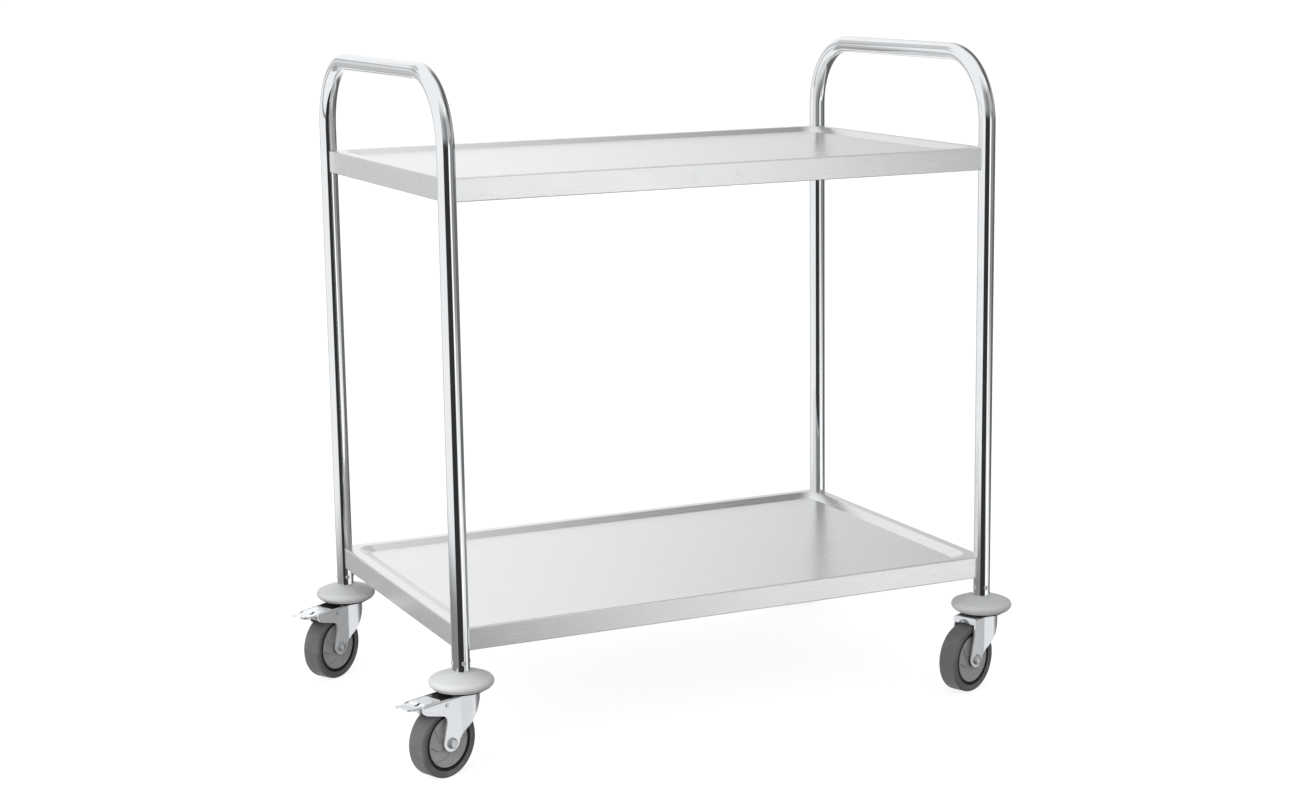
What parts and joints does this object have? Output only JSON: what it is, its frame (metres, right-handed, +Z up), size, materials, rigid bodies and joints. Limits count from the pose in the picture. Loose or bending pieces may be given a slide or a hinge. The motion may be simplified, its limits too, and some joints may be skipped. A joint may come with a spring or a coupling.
{
  "type": "serving trolley",
  "caption": "Open stainless serving trolley: bent-tube end frames that form the push handles, pressed tray shelves, and swivel casters with round buffers, braked at one end.",
  "frame": {"origin": "middle of the trolley's outline on the floor, with the casters standing as modelled; the middle of the legs lies 31.1 mm towards +X and 2.6 mm towards -Y from it", "axes": "+X along the shelves towards the end without brakes, +Y towards the back, +Z up"},
  "size_m": [0.9868, 0.6296, 0.9595],
  "materials": {
    "polished_tube": "mirror polished stainless steel",
    "brushed_sheet": "fine brushed stainless steel",
    "zinc_plated_steel": "bright zinc plating",
    "steel_fastener": "bright steel",
    "black_steel": "black satin",
    "grey_plastic": "light grey, soft satin",
    "black_plastic": "black moulded",
    "hub_grey_plastic": "mid grey moulded",
    "grey_rubber": "dark grey soft rubber",
    "black_rubber": "black rubber"
  },
  "bodies": {
    "trolley": {"left_end_frame": "polished_tube", "right_end_frame": "polished_tube", "upper_shelf": "brushed_sheet", "upper_shelf_ribs": "brushed_sheet", "lower_shelf": "brushed_sheet", "lower_shelf_ribs": "brushed_sheet", "shelf_bolts": "steel_fastener", "shelf_inserts": "steel_fastener", "leg_plugs": "steel_fastener", "leg_rivets": "steel_fastener", "front_left_bumper": "grey_plastic", "front_left_caster_stem": "steel_fastener", "front_left_race_cup": "black_steel", "front_right_bumper": "grey_plastic", "front_right_caster_stem": "steel_fastener", "front_right_race_cup": "black_steel", "back_left_bumper": "grey_plastic", "back_left_caster_stem": "steel_fastener", "back_left_race_cup": "black_steel", "back_right_bumper": "grey_plastic", "back_right_caster_stem": "steel_fastener", "back_right_race_cup": "black_steel"},
    "front_left_swivel": {"front_left_fork": "zinc_plated_steel", "front_left_swivel_balls": "steel_fastener", "front_left_axle_bolt": "steel_fastener", "front_left_axle_nut": "steel_fastener", "front_left_axle_sleeve": "steel_fastener", "front_left_pedal_pin": "steel_fastener"},
    "front_left_wheel": {"front_left_wheel_body": "black_plastic", "front_left_tyre": "grey_rubber", "front_left_dust_covers": "hub_grey_plastic"},
    "front_left_pedal": {"front_left_brake_pedal": "zinc_plated_steel", "front_left_brake_shoe": "black_rubber"},
    "front_right_swivel": {"front_right_fork": "zinc_plated_steel", "front_right_swivel_balls": "steel_fastener", "front_right_axle_bolt": "steel_fastener", "front_right_axle_nut": "steel_fastener", "front_right_axle_sleeve": "steel_fastener"},
    "front_right_wheel": {"front_right_wheel_body": "black_plastic", "front_right_tyre": "grey_rubber", "front_right_dust_covers": "hub_grey_plastic"},
    "back_left_swivel": {"back_left_fork": "zinc_plated_steel", "back_left_swivel_balls": "steel_fastener", "back_left_axle_bolt": "steel_fastener", "back_left_axle_nut": "steel_fastener", "back_left_axle_sleeve": "steel_fastener", "back_left_pedal_pin": "steel_fastener"},
    "back_left_wheel": {"back_left_wheel_body": "black_plastic", "back_left_tyre": "grey_rubber", "back_left_dust_covers": "hub_grey_plastic"},
    "back_left_pedal": {"back_left_brake_pedal": "zinc_plated_steel", "back_left_brake_shoe": "black_rubber"},
    "back_right_swivel": {"back_right_fork": "zinc_plated_steel", "back_right_swivel_balls": "steel_fastener", "back_right_axle_bolt": "steel_fastener", "back_right_axle_nut": "steel_fastener", "back_right_axle_sleeve": "steel_fastener"},
    "back_right_wheel": {"back_right_wheel_body": "black_plastic", "back_right_tyre": "grey_rubber", "back_right_dust_covers": "hub_grey_plastic"}
  },
  "joints": [
    {"name": "front_left_swivel_turn", "type": "hinge", "parent": "trolley", "child": "front_left_swivel", "pos_m": [-0.3862, -0.25845, 0.1149], "axis": [0, 0, 1], "continuous": true},
    {"name": "front_left_wheel_spin", "type": "hinge", "parent": "front_left_swivel", "child": "front_left_wheel", "pos_m": [-0.42202, -0.27388, 0.05], "axis": [0.3955, -0.9184, 0], "continuous": true},
    {"name": "front_left_brake_press", "type": "hinge", "parent": "front_left_swivel", "child": "front_left_pedal", "pos_m": [-0.42891, -0.27684, 0.1055], "axis": [0.3955, -0.9184, 0], "range_deg": [0, 8]},
    {"name": "front_right_swivel_turn", "type": "hinge", "parent": "trolley", "child": "front_right_swivel", "pos_m": [0.4484, -0.25845, 0.1149], "axis": [0, 0, 1], "continuous": true},
    {"name": "front_right_wheel_spin", "type": "hinge", "parent": "front_right_swivel", "child": "front_right_wheel", "pos_m": [0.41247, -0.27363, 0.05], "axis": [0.3891, -0.9212, 0], "continuous": true},
    {"name": "back_left_swivel_turn", "type": "hinge", "parent": "trolley", "child": "back_left_swivel", "pos_m": [-0.3862, 0.25325, 0.1149], "axis": [0, 0, 1], "continuous": true},
    {"name": "back_left_wheel_spin", "type": "hinge", "parent": "back_left_swivel", "child": "back_left_wheel", "pos_m": [-0.41906, 0.23224, 0.05], "axis": [0.5388, -0.8425, 0], "continuous": true},
    {"name": "back_left_brake_press", "type": "hinge", "parent": "back_left_swivel", "child": "back_left_pedal", "pos_m": [-0.42537, 0.2282, 0.1055], "axis": [0.5388, -0.8425, 0], "range_deg": [0, 8]},
    {"name": "back_right_swivel_turn", "type": "hinge", "parent": "trolley", "child": "back_right_swivel", "pos_m": [0.4484, 0.25325, 0.1149], "axis": [0, 0, 1], "continuous": true},
    {"name": "back_right_wheel_spin", "type": "hinge", "parent": "back_right_swivel", "child": "back_right_wheel", "pos_m": [0.41645, 0.27562, 0.05], "axis": [-0.5736, -0.8192, 0], "continuous": true}
  ]
}
